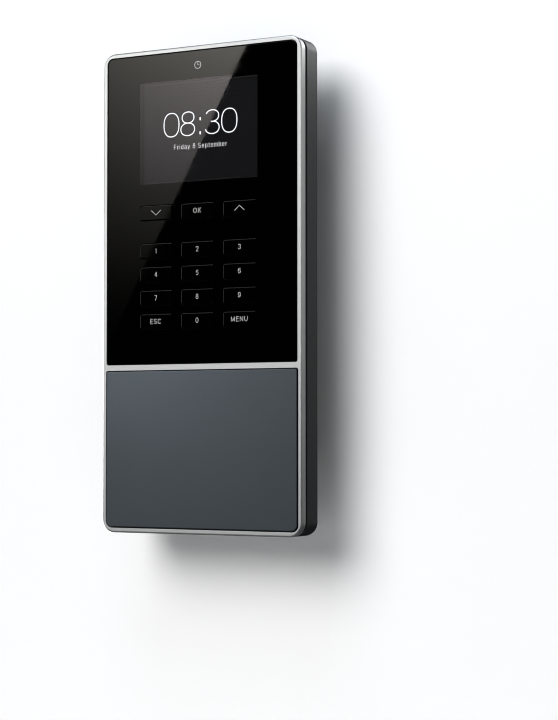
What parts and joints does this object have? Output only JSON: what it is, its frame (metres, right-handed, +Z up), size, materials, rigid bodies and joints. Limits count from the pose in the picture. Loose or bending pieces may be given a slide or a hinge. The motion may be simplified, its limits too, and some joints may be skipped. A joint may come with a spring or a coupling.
{
  "type": "punch time clock",
  "caption": "Slim wall-mounted punch time clock with a display and gloss keypad over a card and fob reader, hung on a steel wall bracket.",
  "frame": {"origin": "middle of the wall bracket's rear face, which lies on the wall, at half the case's height and width", "axes": "+Z up along the case's height, +Y into the wall, +X to the right as seen by a person facing the keypad"},
  "size_m": [0.1, 0.034, 0.214],
  "materials": {
    "silver_paint": "fine metallic silver paint, satin",
    "charcoal_plastic": "finely textured charcoal moulding",
    "clear_lens": "polished clear acrylic sheet",
    "black_print": "opaque black print",
    "slate_panel": "satin slate-blue paint on a moulding",
    "gloss_key": "polished black",
    "display_glass": "polarised display glass",
    "tinned_steel": "tinned sheet",
    "zinc_plate": "zinc-plated pressed sheet",
    "screw_steel": "plain steel",
    "green_board": "solder mask over glass-fibre board",
    "chip_black": "moulded black",
    "ivory_plastic": "moulded ivory nylon",
    "ferrite_sheet": "dull ferrite film",
    "grey_silicone": "soft matt silicone",
    "grey_ribbon": "flat ribbon insulation",
    "amber_film": "amber polyimide film",
    "black_frame": "moulded black"
  },
  "bodies": {
    "bracket": {"wall_bracket": "zinc_plate", "lock_screw": "screw_steel"},
    "terminal": {"rear_housing": "charcoal_plastic", "housing_screw_1": "screw_steel", "housing_screw_2": "screw_steel", "housing_screw_3": "screw_steel", "housing_screw_4": "screw_steel", "front_bezel": "silver_paint", "front_lens": "clear_lens", "lens_print": "black_print", "rfid_panel": "slate_panel", "lcd_glass": "display_glass", "lcd_backlight": "tinned_steel", "lcd_flex": "amber_film", "rfid_antenna": "green_board", "rfid_ferrite": "ferrite_sheet", "rfid_cable": "grey_ribbon", "keypad_mat": "grey_silicone", "keypad_board": "green_board", "keypad_link": "ivory_plastic", "inner_frame": "black_frame", "main_board": "green_board", "processor": "chip_black", "wifi_module": "tinned_steel", "buzzer": "chip_black", "cell_holder": "ivory_plastic", "coin_cell": "tinned_steel", "ethernet_jack": "tinned_steel", "usb_port": "tinned_steel", "dc_jack": "chip_black", "board_screw_1": "screw_steel", "board_screw_2": "screw_steel", "board_screw_3": "screw_steel", "board_screw_4": "screw_steel"},
    "down_key": {"key_down": "gloss_key"},
    "ok_key": {"key_ok": "gloss_key"},
    "up_key": {"key_up": "gloss_key"},
    "digit_1": {"key_1": "gloss_key"},
    "digit_2": {"key_2": "gloss_key"},
    "digit_3": {"key_3": "gloss_key"},
    "digit_4": {"key_4": "gloss_key"},
    "digit_5": {"key_5": "gloss_key"},
    "digit_6": {"key_6": "gloss_key"},
    "digit_7": {"key_7": "gloss_key"},
    "digit_8": {"key_8": "gloss_key"},
    "digit_9": {"key_9": "gloss_key"},
    "esc_key": {"key_esc": "gloss_key"},
    "digit_0": {"key_0": "gloss_key"},
    "menu_key": {"key_menu": "gloss_key"}
  },
  "joints": [
    {"name": "lift_off", "type": "slide", "parent": "bracket", "child": "terminal", "axis": [0, 0, 1], "range_m": [0, 0.0075]},
    {"name": "down_press", "type": "slide", "parent": "terminal", "child": "down_key", "axis": [0, 1, 0], "range_m": [0, 0.0008], "stiffness_N_per_m": 1500},
    {"name": "ok_press", "type": "slide", "parent": "terminal", "child": "ok_key", "axis": [0, 1, 0], "range_m": [0, 0.0008], "stiffness_N_per_m": 1500},
    {"name": "up_press", "type": "slide", "parent": "terminal", "child": "up_key", "axis": [0, 1, 0], "range_m": [0, 0.0008], "stiffness_N_per_m": 1500},
    {"name": "digit_1_press", "type": "slide", "parent": "terminal", "child": "digit_1", "axis": [0, 1, 0], "range_m": [0, 0.0008], "stiffness_N_per_m": 1500},
    {"name": "digit_2_press", "type": "slide", "parent": "terminal", "child": "digit_2", "axis": [0, 1, 0], "range_m": [0, 0.0008], "stiffness_N_per_m": 1500},
    {"name": "digit_3_press", "type": "slide", "parent": "terminal", "child": "digit_3", "axis": [0, 1, 0], "range_m": [0, 0.0008], "stiffness_N_per_m": 1500},
    {"name": "digit_4_press", "type": "slide", "parent": "terminal", "child": "digit_4", "axis": [0, 1, 0], "range_m": [0, 0.0008], "stiffness_N_per_m": 1500},
    {"name": "digit_5_press", "type": "slide", "parent": "terminal", "child": "digit_5", "axis": [0, 1, 0], "range_m": [0, 0.0008], "stiffness_N_per_m": 1500},
    {"name": "digit_6_press", "type": "slide", "parent": "terminal", "child": "digit_6", "axis": [0, 1, 0], "range_m": [0, 0.0008], "stiffness_N_per_m": 1500},
    {"name": "digit_7_press", "type": "slide", "parent": "terminal", "child": "digit_7", "axis": [0, 1, 0], "range_m": [0, 0.0008], "stiffness_N_per_m": 1500},
    {"name": "digit_8_press", "type": "slide", "parent": "terminal", "child": "digit_8", "axis": [0, 1, 0], "range_m": [0, 0.0008], "stiffness_N_per_m": 1500},
    {"name": "digit_9_press", "type": "slide", "parent": "terminal", "child": "digit_9", "axis": [0, 1, 0], "range_m": [0, 0.0008], "stiffness_N_per_m": 1500},
    {"name": "esc_press", "type": "slide", "parent": "terminal", "child": "esc_key", "axis": [0, 1, 0], "range_m": [0, 0.0008], "stiffness_N_per_m": 1500},
    {"name": "digit_0_press", "type": "slide", "parent": "terminal", "child": "digit_0", "axis": [0, 1, 0], "range_m": [0, 0.0008], "stiffness_N_per_m": 1500},
    {"name": "menu_press", "type": "slide", "parent": "terminal", "child": "menu_key", "axis": [0, 1, 0], "range_m": [0, 0.0008], "stiffness_N_per_m": 1500}
  ]
}
